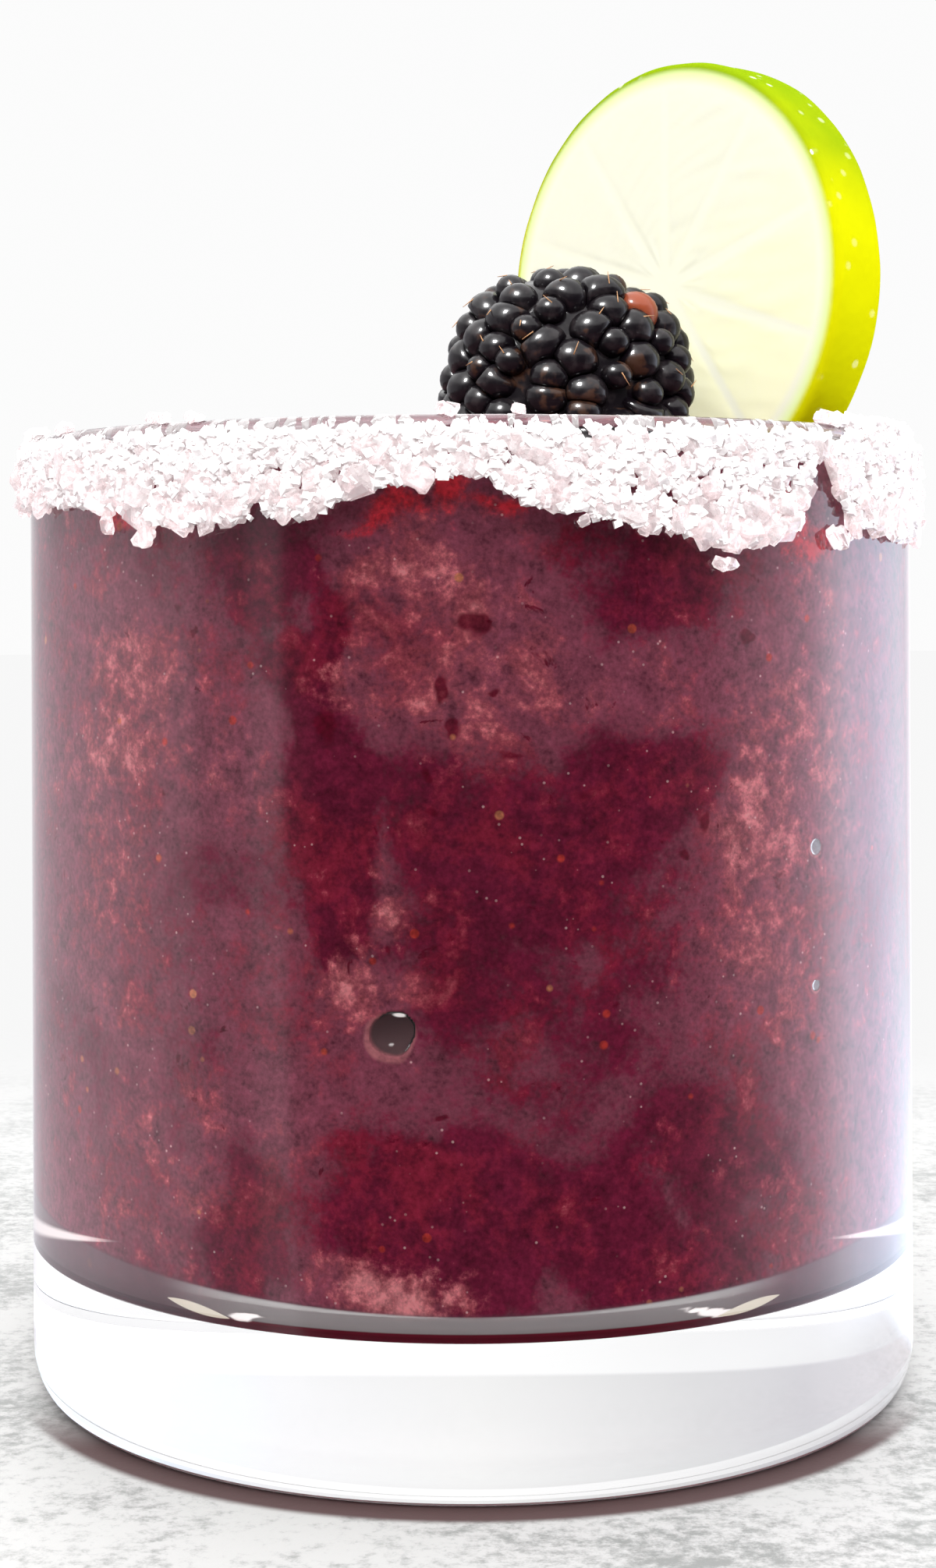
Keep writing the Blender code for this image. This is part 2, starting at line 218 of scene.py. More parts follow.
glint = lamp("glint_lamp", GLINT_PLACE, GLINT_SIZE, GLINT_POWER)
glint.visible_diffuse = False
fill = lamp("fill_lamp", FILL_PLACE, FILL_SIZE, FILL_POWER)
fill.visible_glossy = False


# The table: a pale, whitewashed board with a worn, cloudy finish, which fades into the white wall behind. A thin
# dark plum-brown line of painted contact shadow lies round the front of the foot of the glass.
FLOOR_RADIUS = 3.0
FLOOR_DROP = 0.05 * MM
FLOOR_PALE = (0.315, 0.315, 0.31)
FLOOR_WORN = (0.16, 0.165, 0.16)
FLOOR_FAR = 0.935
CONTACT_SHADOW = (0.060, 0.037, 0.037)
CONTACT_SHADOW_EDGE = (42.7 * MM, 44.0 * MM)
CONTACT_SHADOW_FRONT = (12 * MM, 26 * MM)
FLOOR_FADE = (60 * MM, 200 * MM)
FLOOR_NEAR = (58 * MM, 85 * MM)
FLOOR_MIDDLE = -32 * MM
BEHIND_FOOT = (35.0 * MM, 37.0 * MM)


def new_material(name, **constants):
    """A Principled material with constant sockets, its shader, and the point of the piece being shaded."""
    material = bpy.data.materials.new(name)
    material.use_nodes = True
    shader = material.node_tree.nodes["Principled BSDF"]
    for socket, value in constants.items():
        shader.inputs[socket.replace("_", " ")].default_value = value
    return material, shader, coordinates(material.node_tree, "Object")


def new_piece(name, shape, *materials, smooth=True):
    """Makes an object in the scene from a bmesh."""
    for face in shape.faces:
        face.smooth = smooth
    mesh = bpy.data.meshes.new(name)
    shape.to_mesh(mesh)
    shape.free()
    for material in materials:
        mesh.materials.append(material)
    piece = bpy.data.objects.new(name, mesh)
    bpy.context.scene.collection.objects.link(piece)
    return piece


board, shader, spot = new_material("whitewashed_board", Roughness=0.55)
board.cycles.emission_sampling = "NONE"
clouds = spot.swirled(30 * MM, 8 * MM).noise(18 * MM, detail=8, roughness=0.7)
grain = spot.noise(1.6 * MM, detail=5, roughness=0.75)
worn = (clouds * 0.5 + grain * 0.5).step(0.46, 0.62)
distance = spot.node("VectorMath", {"operation": "LENGTH"}, {0: spot}, output="Value")
across, along, height = spot.axes()
boards = worn.between(FLOOR_PALE, FLOOR_WORN)
# Painted contact shadow: a dark ring just outside the foot, in front of the glass only
contact_shadow = distance.step(CONTACT_SHADOW_EDGE[1], CONTACT_SHADOW_EDGE[0]) * (0 - along).step(*CONTACT_SHADOW_FRONT)
contact_shadow.between(boards, CONTACT_SHADOW).to(shader.inputs["Base Color"])
bump = grain.node("Bump", inputs={"Height": grain, "Distance": 0.1 * MM, "Strength": 0.4})
bump.to(shader.inputs["Normal"])
seen = spot.node("LightPath", output="Is Camera Ray")
# Seen in the glass and in gloss, the board glows with the room's light from FLOOR_NEAR out, and with painted light just
# behind the foot from BEHIND_FOOT on, in place of the foot's shadow there
behind = distance.step(*BEHIND_FOOT) * along.step(0.0, 15 * MM)
near = 1 - (1 - distance.step(*FLOOR_NEAR)) * (1 - behind)
far = near + seen * (distance.step(*FLOOR_FADE) - near)
glow = seen.between(light_around(across, along - FLOOR_MIDDLE), (FLOOR_FAR, FLOOR_FAR, FLOOR_FAR))
glow = glow.node("Emission", inputs={"Color": glow, "Strength": 1.0})
sweep = glow.node("MixShader", inputs={0: far, 1: Value(board.node_tree, shader.outputs[0]), 2: glow})
sweep.to(board.node_tree.nodes["Material Output"].inputs["Surface"])

shape = bmesh.new()
bmesh.ops.create_circle(shape, cap_ends=True, segments=64, radius=FLOOR_RADIUS)
bmesh.ops.translate(shape, verts=shape.verts, vec=(0, 0, -FLOOR_DROP))
floor = new_piece("table", shape, board)


# The tumbler: clear pressed glass, turned smooth all round, with a straight wall, a thick solid base, a rounded
# heel and a fire-polished lip. Its hollow has a rounded corner at the bottom.
GLASS_RADIUS = 42.0 * MM
GLASS_HEIGHT = 89.0 * MM
WALL = 2.3 * MM
BASE_THICKNESS = 12.8 * MM
HEEL_WIDTH = 2.4 * MM
HEEL_HEIGHT = 4.5 * MM
HOLLOW_FILLET_WIDTH = 4.6 * MM
HOLLOW_FILLET_HEIGHT = 3.4 * MM
GLASS_STEPS = 192
BORE_RADIUS = GLASS_RADIUS - WALL
HOLD = 0.4 * MM
# Damp clings round the foot, and light from inside the glass passes out there instead of being mirrored: through
# the heel, and through the edge of the underside to the table
DAMP_HEIGHT = 5.0 * MM
DAMP_UNDERSIDE = 36.4 * MM
WETTED_IOR = 1.13


def arc(centre_x, centre_z, width, height, start, end, steps):
    """Points of an elliptical arc in the profile plane, start and end in degrees from +X."""
    points = []
    for step in range(steps + 1):
        angle = math.radians(start + (end - start) * step / steps)
        points.append((centre_x + width * math.cos(angle), centre_z + height * math.sin(angle)))
    return points


def hollow(grow):
    """The hollow's floor, corner and wall up to the lip's round, moved out into the glass by grow."""
    corner_x = BORE_RADIUS - HOLLOW_FILLET_WIDTH
    corner_z = BASE_THICKNESS + HOLLOW_FILLET_HEIGHT
    points = [(0.0, BASE_THICKNESS - grow), (corner_x - HOLD, BASE_THICKNESS - grow)]
    points += arc(corner_x, corner_z, HOLLOW_FILLET_WIDTH + grow, HOLLOW_FILLET_HEIGHT + grow, -90, 0, 16)
    points.append((BORE_RADIUS + grow, corner_z + HOLD))
    return points


def turned(outline, steps):
    """A bmesh spun from an outline of (radius, height) points round the Z axis, closed at the poles."""
    shape = bmesh.new()
    verts = [shape.verts.new((radius, 0, height)) for radius, height in outline]
    edges = [shape.edges.new(pair) for pair in zip(verts, verts[1:])]
    bmesh.ops.spin(
        shape, geom=verts + edges, cent=(0, 0, 0), axis=(0, 0, 1), dvec=(0, 0, 0),
        angle=math.tau, steps=steps, use_merge=True, use_normal_flip=False, use_duplicate=False,
    )
    bmesh.ops.remove_doubles(shape, verts=shape.verts, dist=1e-6)
    bmesh.ops.recalc_face_normals(shape, faces=shape.faces)
    return shape


lip = WALL / 2
heel_x = GLASS_RADIUS - HEEL_WIDTH
outline = hollow(0)
outline.append((BORE_RADIUS, GLASS_HEIGHT - lip - HOLD))
outline += arc(GLASS_RADIUS - lip, GLASS_HEIGHT - lip, lip, lip, 180, 0, 20)
outline += [(GLASS_RADIUS, GLASS_HEIGHT - lip - HOLD), (GLASS_RADIUS, HEEL_HEIGHT + HOLD)]
outline += arc(heel_x, HEEL_HEIGHT, HEEL_WIDTH, HEEL_HEIGHT, 0, -90, 16)
outline += [(heel_x - HOLD, 0.0), (0.0, 0.0)]

clear, shader, spot = new_material("clear_glass", Roughness=0.0, IOR=1.5, Transmission_Weight=1.0)
waves = spot.noise(14 * MM, detail=1)
bump = waves.node("Bump", inputs={"Height": waves, "Distance": 0.05 * MM, "Strength": 0.3})
bump.to(shader.inputs["Normal"])
across, along, height = spot.axes()
leaving = spot.node("NewGeometry", output="Backfacing")
wetted = spot.node("BsdfGlass", inputs={"Roughness": 0.0, "IOR": WETTED_IOR})
damp_share = leaving * height.step(DAMP_HEIGHT + 0.5 * MM, DAMP_HEIGHT) * height.step(0.01 * MM, 0.05 * MM)
surface = spot.node("MixShader", inputs={0: damp_share, 1: Value(clear.node_tree, shader.outputs[0]), 2: wetted})
flat_edge = (across * across + along * along).step((DAMP_UNDERSIDE - 0.2 * MM) ** 2, DAMP_UNDERSIDE**2)
flat_edge = flat_edge * leaving * height.step(0.10 * MM, 0.07 * MM)
surface = spot.node("MixShader", inputs={0: flat_edge, 1: surface, 2: spot.node("BsdfTransparent")})
surface.to(clear.node_tree.nodes["Material Output"].inputs["Surface"])
glass = new_piece("glass_tumbler", turned(outline, GLASS_STEPS), clear)
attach(glass, "root")
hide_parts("glass")


# The drink: frozen dark-berry slush, poured almost to the lip. It reaches just into the glass, so that no air
# shows between them but in the pockets and bubbles. Paler pulp, deep syrup and seeds are mottled through it.
DRINK_LEVEL = 87.0 * MM
DRINK_STEPS = 320
DRINK_ROW = 0.78 * MM
DRINK_REACH = 0.15 * MM
TOP_ROW = 1.0 * MM
SLUSH_HEIGHT = 0.45 * MM
SLUSH_SPACING = 7.0 * MM
# Round air bubbles against the glass: angle, height, and width and depth in mm
POCKETS = ((-9.2, 38.6, 3.7, 1.5), (46.4, 52.5, 1.5, 0.4), (46.3, 40.6, 1.1, 0.3))
# Holes in the slush, painted dark as their shade with no hollow cut: angle, height, half width, half height (mm)
# and strength
HOLE_SHADES = (
    (0.6, 72.0, 1.6, 1.2, 1.0), (-3.3, 66.6, 0.6, 1.5, 1.0), (-2.2, 63.6, 0.9, 1.1, 1.0), (34.7, 70.5, 0.9, 0.7, 1.0),
    (25.8, 52.7, 0.8, 0.6, 0.9), (28.3, 55.4, 0.8, 1.1, 0.9), (-4.5, 56.6, 0.7, 0.5, 0.8), (2.5, 66.6, 0.6, 0.5, 0.8),
    (-5.4, 59.7, 0.6, 0.8, 0.8), (-3.5, 31.9, 0.7, 0.5, 0.8), (-9.7, 45.4, 0.5, 0.5, 0.8), (-28, 77, 0.6, 0.6, 0.7),
    (4.6, 61.2, 1.6, 0.4, 0.7), (-37.1, 73.3, 0.6, 0.6, 0.7), (13.0, 58.0, 1.0, 0.5, 0.6), (-17.0, 63.5, 1.2, 2.0, 0.9),
)
POCKET_CUTS = 3
POCKET_LEAN = 0.06
# Wide patches in the slush: angle, height, half width, half height (mm) and strength
PALE_PATCHES = (
    (-8, 76, 6, 4, 0.8), (-1, 75, 5, 4, 0.9), (-13.5, 67.6, 4, 5, 0.6), (-44, 67, 7, 5, 0.9), (-47.5, 61.5, 8, 4, 0.9),
    (-33, 60, 4, 3, 0.7), (38, 57, 5, 7, 1.0), (33.7, 53.5, 3, 4, 1.0), (-11, 50, 2.5, 5, 0.9), (-13, 43, 3, 5, 0.9),
    (-41, 24, 8, 5, 0.5), (16.6, 66.5, 8, 5, 0.4), (37, 43, 6, 7, 0.7), (1, 67, 10, 6, 0.6), (-50, 50, 6, 12, 0.5),
    (-25, 29, 12, 6, 0.35), (-10, 18.0, 6.5, 2.3, 1.5), (-4, 17, 3, 1.3, 1.2), (46, 60, 5, 14, 0.6),
)
DEEP_PATCHES = (
    (7, 50, 12, 9, 1.0), (-0.3, 51, 5, 6, 0.8), (19, 58, 7, 5, 0.8), (-18.3, 69, 2.4, 6, 1.3), (-17.4, 59, 2.6, 7, 1.3),
    (-15.3, 52, 2.4, 5, 1.1), (-16.2, 46, 2.6, 4, 0.9), (-4, 24, 10, 8, 1.2), (-13, 29, 4, 4, 0.8), (16, 21, 6, 6, 1.0),
    (-26.6, 20.5, 3, 7, 1.2), (25.5, 17, 6, 5, 1.0), (21, 76, 6, 5, 0.8), (-23, 77, 5, 4, 1.0), (30, 30, 8, 6, 0.5),
)
# Light caught by the largest bubble and along the corner of the hollow, in the same numbers
GLEAMS = (
    (-8.6, 40.0, 0.7, 0.22, 0.9), (-9.7, 37.5, 0.35, 0.22, 0.55), (-28.9, 14.2, 1.1, 0.38, 1.1),
    (-27.4, 14.5, 1.2, 0.25, 0.9), (-25.2, 14.65, 1.9, 0.14, 0.5), (25.6, 15.05, 1.1, 0.18, 0.75),
    (27.4, 14.8, 1.2, 0.22, 0.9), (29.3, 14.45, 1.2, 0.3, 1.1), (31.1, 14.15, 1.1, 0.34, 1.1),
)
PATCH_SWIRL = 6.0 * MM
PATCH_PUSH = 3.5 * MM
PATCH_SEED = 394
# Where light comes through the edge of the salt
LIT_PATCHES = (
    (-3, 82.9, 2.4, 2.2, 1.2), (-9, 81.4, 4, 1.0, 0.8), (4, 81.8, 3, 1.0, 0.8), (-50, 82, 3, 2.4, 0.9), (43.5, 80, 3, 3, 0.9),
)
# Colours through the slush, some of them also painted on it as shade and highlights, and the painted reflection and
# shade on its corner where it turns under against the glass
SLUSH_MAUVE = (0.325, 0.080, 0.128)
SLUSH_DEEP = (0.20, 0.014, 0.048)
SLUSH_CRIMSON = (0.30, 0.018, 0.046)
SLUSH_CLOUD = (0.56, 0.12, 0.15)
SLUSH_PALE = (0.88, 0.33, 0.35)
SLUSH_LIT = (0.80, 0.045, 0.07)
SLUSH_SPOT = (0.16, 0.004, 0.022)
SEED_RED = (0.62, 0.055, 0.04)
SEED_TAN = (0.72, 0.27, 0.13)
ICE_FLECK = (0.92, 0.62, 0.62)
GLEAM_LIGHT = (0.95, 0.90, 0.88)
LEAF_LIGHT = (0.66, 0.62, 0.50)
POCKET_SHADE_GREY = (0.23, 0.13, 0.14)
CORNER_REFLECTION_GREY = (0.92, 0.86, 0.87)
CORNER_SHADE_PLUM = (0.17, 0.075, 0.11)
# The corner seen through the wall, painted as a pale band of reflection in front and plum shade at the sides: its
# lower and upper edge in front, and how the upper edge and a white streak of painted highlight at each side climb
# and fall with the angle in degrees
CORNER = (14.1 * MM, 15.65 * MM)
CORNER_CLIMB = 0.0045 * MM
CORNER_SIDES = (42, 24)
STREAK_HEIGHT = 23.4 * MM
STREAK_FALL = 0.1 * MM
STREAK_WIDTH = 0.034 * MM
STREAK_START = 46
# A leaf-shaped gleam beside it on both sides: from and to which angle, its height there and how thick it grows
LEAF = (30.5, 39.8)
LEAF_HEIGHT = 13.9 * MM
LEAF_CLIMB = 0.10 * MM
LEAF_WIDTH = 0.026 * MM
# Against the glass the drink has the lower index, so light at a low angle is wholly mirrored
AGAINST_GLASS_IOR = 0.907
AGAINST_GLASS_ROUGHNESS = 0.06


def round_angle(point):
    """A point's angle round the glass, in degrees from the front towards +X."""
    return math.degrees(math.atan2(point.x, -point.y))


def patch(point, patches):
    """How far a point of the drink's side lies in the patches, from 0 outside them to their strength."""
    angle = round_angle(point)
    share = 0.0
    for middle, height, half_width, half_height, strength in patches:
        across = math.radians(angle - middle) * BORE_RADIUS / MM / half_width
        along = (point.z / MM - height) / half_height
        if abs(across) < 2 and abs(along) < 2:
            share = max(share, strength * math.exp(-(across * across + along * along)))
    return share


def from_pocket(point, pocket, aside=0.0):
    """A point's distance from an air pocket's middle, or a little aside to its lower left, as a share of its half width."""
    middle, height, width, depth = pocket
    across = math.radians(round_angle(point) - middle) * BORE_RADIUS / MM + aside
    height -= aside * 1.5
    uneven = 1 + 0.12 * noise.noise(point / (1.6 * MM)) if width > 2 else 1.0
    return 2 * math.hypot(across, point.z / MM - height) / (width * uneven)


outline = hollow(DRINK_REACH)
wall_low = outline[-1][1]
rows = round((DRINK_LEVEL - wall_low) / DRINK_ROW)
edge_radius = BORE_RADIUS + DRINK_REACH
outline += [(edge_radius, wall_low + (DRINK_LEVEL - wall_low) * row / rows) for row in range(1, rows + 1)]
rings = round(edge_radius / TOP_ROW)
outline += [(edge_radius * (1 - ring / rings), DRINK_LEVEL) for ring in range(1, rings + 1)]
shape = turned(outline, DRINK_STEPS)
at_pockets = []
for edge in shape.edges:
    middle = (edge.verts[0].co + edge.verts[1].co) / 2
    if middle.y < 0 and math.hypot(middle.x, middle.y) > BORE_RADIUS and middle.z < DRINK_LEVEL - MM:
        if any(from_pocket(middle, pocket) < 1.7 for pocket in POCKETS) or patch(middle, HOLE_SHADES) > 0.02:
            at_pockets.append(edge)
bmesh.ops.subdivide_edges(shape, edges=at_pockets, cuts=POCKET_CUTS, use_grid_fill=True)
pale = shape.verts.layers.float.new("pale")
deep = shape.verts.layers.float.new("deep")
lit = shape.verts.layers.float.new("lit")
hole = shape.verts.layers.float.new("hole")
air = shape.verts.layers.float.new("air")
ring = shape.verts.layers.float.new("ring")
gleam = shape.verts.layers.float.new("gleam")
noise.seed_set(PATCH_SEED)
for vert in shape.verts:
    vert[gleam] = patch(vert.co, GLEAMS) if vert.co.z < DRINK_LEVEL - MM else 0.0
    out = Vector((vert.co.x, vert.co.y, 0))
    if out.length > BORE_RADIUS - 0.1 * MM and vert.co.z < DRINK_LEVEL - MM:
        swirled = vert.co + noise.noise_vector(vert.co / PATCH_SWIRL) * PATCH_PUSH
        vert[pale] = patch(swirled, PALE_PATCHES)
        vert[deep] = patch(swirled, DEEP_PATCHES)
        vert[lit] = patch(swirled, LIT_PATCHES)
        if vert.co.y < 0:
            place = vert.co.copy()
            vert[hole] = patch(place + noise.noise_vector(place / MM) * 0.5 * MM, HOLE_SHADES)
            for pocket in POCKETS:
                share = from_pocket(place, pocket)
                if share < 1:
                    vert.co -= out.normalized() * pocket[3] * MM * math.sqrt(1 - share**2)
                vert[air] = max(vert[air], 1 - share / 1.6)
                vert[ring] = max(vert[ring], 1 - from_pocket(place, pocket, pocket[2] * POCKET_LEAN) / 1.6)
    elif vert.co.z > DRINK_LEVEL - 0.1 * MM:
        place = Vector((vert.co.x, vert.co.y, 0)) / SLUSH_SPACING
        rise = noise.noise(place) + 0.5 * noise.noise(place * 2.3) + 0.25 * noise.noise(place * 6)
        vert.co.z += SLUSH_HEIGHT * rise
bmesh.ops.recalc_face_normals(shape, faces=shape.faces)

slush, shader, spot = new_material("berry_slush", IOR=1.36, Specular_IOR_Level=0.0, Emission_Strength=1.0)
pale_share = spot.node("Attribute", {"attribute_name": "pale"}, output="Fac")
deep_share = spot.node("Attribute", {"attribute_name": "deep"}, output="Fac")
lit_share = spot.node("Attribute", {"attribute_name": "lit"}, output="Fac")
hole_shade_share = spot.node("Attribute", {"attribute_name": "hole"}, output="Fac")
air_share = spot.node("Attribute", {"attribute_name": "air"}, output="Fac")
rim_highlight_share = spot.node("Attribute", {"attribute_name": "ring"}, output="Fac")
gleam_share = spot.node("Attribute", {"attribute_name": "gleam"}, output="Fac")
swirled = spot.swirled(8 * MM, 9 * MM)
broad = swirled.noise(15 * MM, detail=6, roughness=0.62)
clouds = swirled.noise(4.5 * MM, detail=8, roughness=0.68)
blotches = spot.noise(1.7 * MM, detail=8, roughness=0.7)
grain = spot.noise(0.42 * MM, detail=2)
red_share = swirled.noise(9 * MM, detail=6, roughness=0.62)
deep_mask = (broad * 0.8 + deep_share * 0.34 + blotches * 0.5 - pale_share * 0.1).step(0.64, 0.82)
colour = deep_mask.between(SLUSH_MAUVE, SLUSH_DEEP)
red_mask = (red_share * 0.8 + blotches * 0.5 + deep_share * 0.05).step(0.64, 0.82) * 0.8
colour = red_mask.between(colour, SLUSH_CRIMSON)
cloud_mask = (clouds * 0.7 + blotches * 0.5 + pale_share * 0.24 - deep_share * 0.06).step(0.64, 0.86)
colour = (cloud_mask * 0.85).between(colour, SLUSH_CLOUD)
pale_mask = (blotches * 0.7 + clouds * 0.4 + pale_share * 0.2).step(0.68, 0.88)
colour = (pale_mask * 0.75).between(colour, SLUSH_PALE)
lit_mask = (lit_share + blotches * 1.4).step(1.0, 1.6)
colour = lit_mask.between(colour, SLUSH_LIT)
spots = swirled.noise(2.4 * MM, detail=4, roughness=0.65).step(0.34, 0.28)
colour = (spots * 0.8).between(colour, SLUSH_SPOT)
# Painted shade in the holes, darkest with the blotches
colour = ((hole_shade_share + blotches * 0.8).step(0.75, 1.1) * 0.85).between(colour, SLUSH_SPOT)
seed_cells = spot.cells(3.6 * MM, output="Color").axes()
seeds = spot.cells(3.6 * MM).step(0.13, 0.08) * seed_cells[0].step(0.55, 0.6)
colour = (seeds * 0.85).between(colour, seed_cells[1].step(0.4, 0.8).between(SEED_RED, SEED_TAN))
flecks = spot.cells(1.1 * MM).step(0.13, 0.07) * spot.noise(5 * MM).step(0.48, 0.62)
colour = (flecks * 0.6).between(colour, ICE_FLECK)
across, along, height = spot.axes()
# Mottled tone through the slush, with the top surface darkened as painted shade
shade = (blotches * 2.8 + grain * 1.3 - 0.87) * (height.step(DRINK_LEVEL - 0.5 * MM, DRINK_LEVEL - 1.5 * MM) * 0.72 + 0.28)
colour = colour.node("VectorMath", {"operation": "SCALE"}, {0: colour, "Scale": shade})
# Painted highlight: a pale crescent at the lower left rim of each bubble. Inside the bubble, painted shade and dim
# reflection in grey
colour = (rim_highlight_share.step(0.22, 0.36) * (blotches * 2.2 - 0.4)).between(colour, SLUSH_PALE)
colour = air_share.step(0.36, 0.44).between(colour, POCKET_SHADE_GREY)
# Painted shade and reflection on the corner: plum over all below its upper edge, a grey band of reflection in front,
# and a line at the bottom, crimson in front and plum at the sides
side = across.maths("ARCTAN2", across, 0 - along)
side = side.maths("ABSOLUTE", side) * math.degrees(1) * along.step(5 * MM, -5 * MM)
below_top = side**1.5 * CORNER_CLIMB + CORNER[1] - height
below = below_top.step(-0.3 * MM, 0.3 * MM)
middle = side.step(*CORNER_SIDES)
corner = below_top.step(0.0, 0.3 * MM) * height.step(CORNER[0] - 0.2 * MM, CORNER[0])
colour = (below * 0.8).between(colour, CORNER_SHADE_PLUM)
colour = (corner * (middle * 0.75 + 0.1)).between(colour, CORNER_REFLECTION_GREY)
line = height.step(CORNER[0], CORNER[0] - 0.2 * MM)
line.between(colour, middle.between(CORNER_SHADE_PLUM, SLUSH_CRIMSON)).to(shader.inputs["Base Color"])
# Painted highlights, made to glow: a white streak at each side, the gleams, a faint glow over the grey band of the
# corner and a leaf-shaped gleam at each side
streak = height + side * STREAK_FALL - STREAK_HEIGHT
streak = streak.maths("ABSOLUTE", streak) / ((side - STREAK_START) * STREAK_WIDTH)
gleam_share = gleam_share.step(0.25, 0.6) + streak.step(1.0, 0.3) * side.step(STREAK_START + 1, STREAK_START + 12)
gleam_share = gleam_share + corner * middle * 0.07
leaf = height - (side - LEAF[0]) * LEAF_CLIMB - LEAF_HEIGHT
leaf = leaf.maths("ABSOLUTE", leaf) / ((side - LEAF[0]) * (LEAF[1] - side) * LEAF_WIDTH)
leaf = leaf.step(1.0, 0.75) * side.step(LEAF[0], LEAF[0] + 0.3) * side.step(LEAF[1], LEAF[1] - 0.3)
glow = leaf.between(gleam_share.between((0, 0, 0), GLEAM_LIGHT), LEAF_LIGHT)
glow.to(shader.inputs["Emission Color"])
gleam_share = gleam_share.maths("MAXIMUM", gleam_share, leaf)
wet = height.step(DRINK_LEVEL - 1.2 * MM, DRINK_LEVEL - 0.6 * MM)
(0.6 - wet * 0.42).to(shader.inputs["Roughness"])
wet.to(shader.inputs["Coat Weight"])
mirror = spot.node("BsdfGlossy", inputs={"Roughness": AGAINST_GLASS_ROUGHNESS})
grazing = spot.node("Fresnel", inputs={"IOR": AGAINST_GLASS_IOR}) * (1 - wet)
mirrored = (grazing * (1 - below * 0.8) + corner * middle * 0.4) * (1 - gleam_share)
surface = spot.node("MixShader", inputs={0: mirrored, 1: Value(slush.node_tree, shader.outputs[0]), 2: mirror})
surface.to(slush.node_tree.nodes["Material Output"].inputs["Surface"])
relief = (blotches * 0.7 + grain * 0.3) * (0.15 + wet * 0.85)
bump = relief.node("Bump", inputs={"Height": relief, "Distance": 0.35 * MM, "Strength": 0.5})
bump.to(shader.inputs["Normal"])
drink = new_piece("frozen_drink", shape, slush)
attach(drink, "root")
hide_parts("drink")


# The salted rim: coarse, blocky grains of salt stuck in a thick crust to the outside of the lip, with an uneven
# lower edge, and finer grains between them and over the lip.
SALT_HANG = (
    (-105, 7.0), (-78, 6.6), (-50, 7.2), (-35, 9.2), (-20, 8.7), (-8, 6.1), (0, 5.4), (8, 8.0),
    (18, 9.6), (32, 11.0), (39, 10.4), (45, 3.4), (52, 9.4), (66, 10.2), (90, 8.2), (120, 9.4),
    (150, 7.4), (185, 9.0), (220, 7.6), (255, 7.0),
)
HANG_UNEVEN = 1.3 * MM
CLEAN_LIP = (-72, 51)
CLEAN_DEPTH = 1.3 * MM
# Clumps of grains on top of the lip: angle and size in mm
LIP_CLUMPS = (
    (-2, 1.5), (5, 1.1), (49, 1.7), (-34, 1.2), (-40, 1.4), (57, 1.4), (-63, 1.6), (76, 1.8), (128, 1.9), (181, 1.7),
    (236, 2.0),
)
# Single grains below the crust: angle, distance below the lip and size in mm
LOOSE_GRAINS = ((-39.6, 9.7, 2.4), (48.0, 9.9, 2.3), (51.6, 9.2, 2.0), (29.5, 12.2, 1.5), (-46.5, 8.6, 1.6))
MOST_HANG = 11 * MM
COARSE_GRAINS = 1750
FINE_GRAINS = 18500
LOWEST_BAND = 2.6 * MM
LOWEST_SHARE = 0.34
GRAIN_LOW = (1.4 * MM, 3.3 * MM)
GRAIN_HIGH = (0.8 * MM, 1.7 * MM)
GRAIN_FINE = (0.25 * MM, 0.9 * MM)
GRAIN_THICKNESS = (0.5 * MM, 1.1 * MM)
GRAIN_KINDS = 12
GRAIN_BEVEL = 0.18
GRAIN_JITTER = 0.11
GRAIN_TILT = math.radians(22)
GAP_SPACING = 2.4 * MM
GAP_BELOW = -0.50
GOLDEN_ANGLE = 137.508
SALT_SEED = 31
SALT_GLOW = (1.0, 0.80, 0.81, 1.0)


def salt_hang(angle):
    """How far the crust hangs below the lip at an angle, on a smooth curve through its points."""
    start = SALT_HANG[0][0]
    angle = start + (angle - start) % 360
    ends = SALT_HANG + ((start + 360, SALT_HANG[0][1]),)
    for (low, low_hang), (high, high_hang) in zip(ends, ends[1:]):
        if angle <= high:
            part = (angle - low) / (high - low)
            part = part * part * (3 - 2 * part)
            return (low_hang + (high_hang - low_hang) * part) * MM
    return ends[-1][1] * MM


def at_rim(angle, radius, height):
    """A point by its angle round the glass, its radius and its height."""
    turn = math.radians(angle - 90)
    return Vector((radius * math.cos(turn), radius * math.sin(turn), height))


def clear_of_glass(point):
    """Moves a point out of the wall or the lip, to lie on the glass."""
    around = Vector((point.x, point.y, 0))
    away = Vector((around.length - (GLASS_RADIUS - lip), max(point.z - (GLASS_HEIGHT - lip), 0)))
    short = lip + 0.02 * MM - away.length
    if short > 0:
        away = away.normalized() * short
        point += around.normalized() * away.x + Vector((0, 0, away.y))


def grain_kinds(draw, bevel):
    """Shapes of grains one unit across: blocks a little out of square, with worn edges if bevel isn't 0."""
    kinds = []
    for _ in range(GRAIN_KINDS):
        shape = bmesh.new()
        bmesh.ops.create_cube(shape, size=1.0)
        if bevel:
            bmesh.ops.bevel(shape, geom=shape.edges[:], offset=bevel, segments=1, affect="EDGES")
        for vert in shape.verts:
            vert.co += Vector([draw.uniform(-1, 1) for _ in range(3)]) * GRAIN_JITTER
        kinds.append(bpy.data.meshes.new("grain"))
        shape.to_mesh(kinds[-1])
        shape.free()
    return kinds


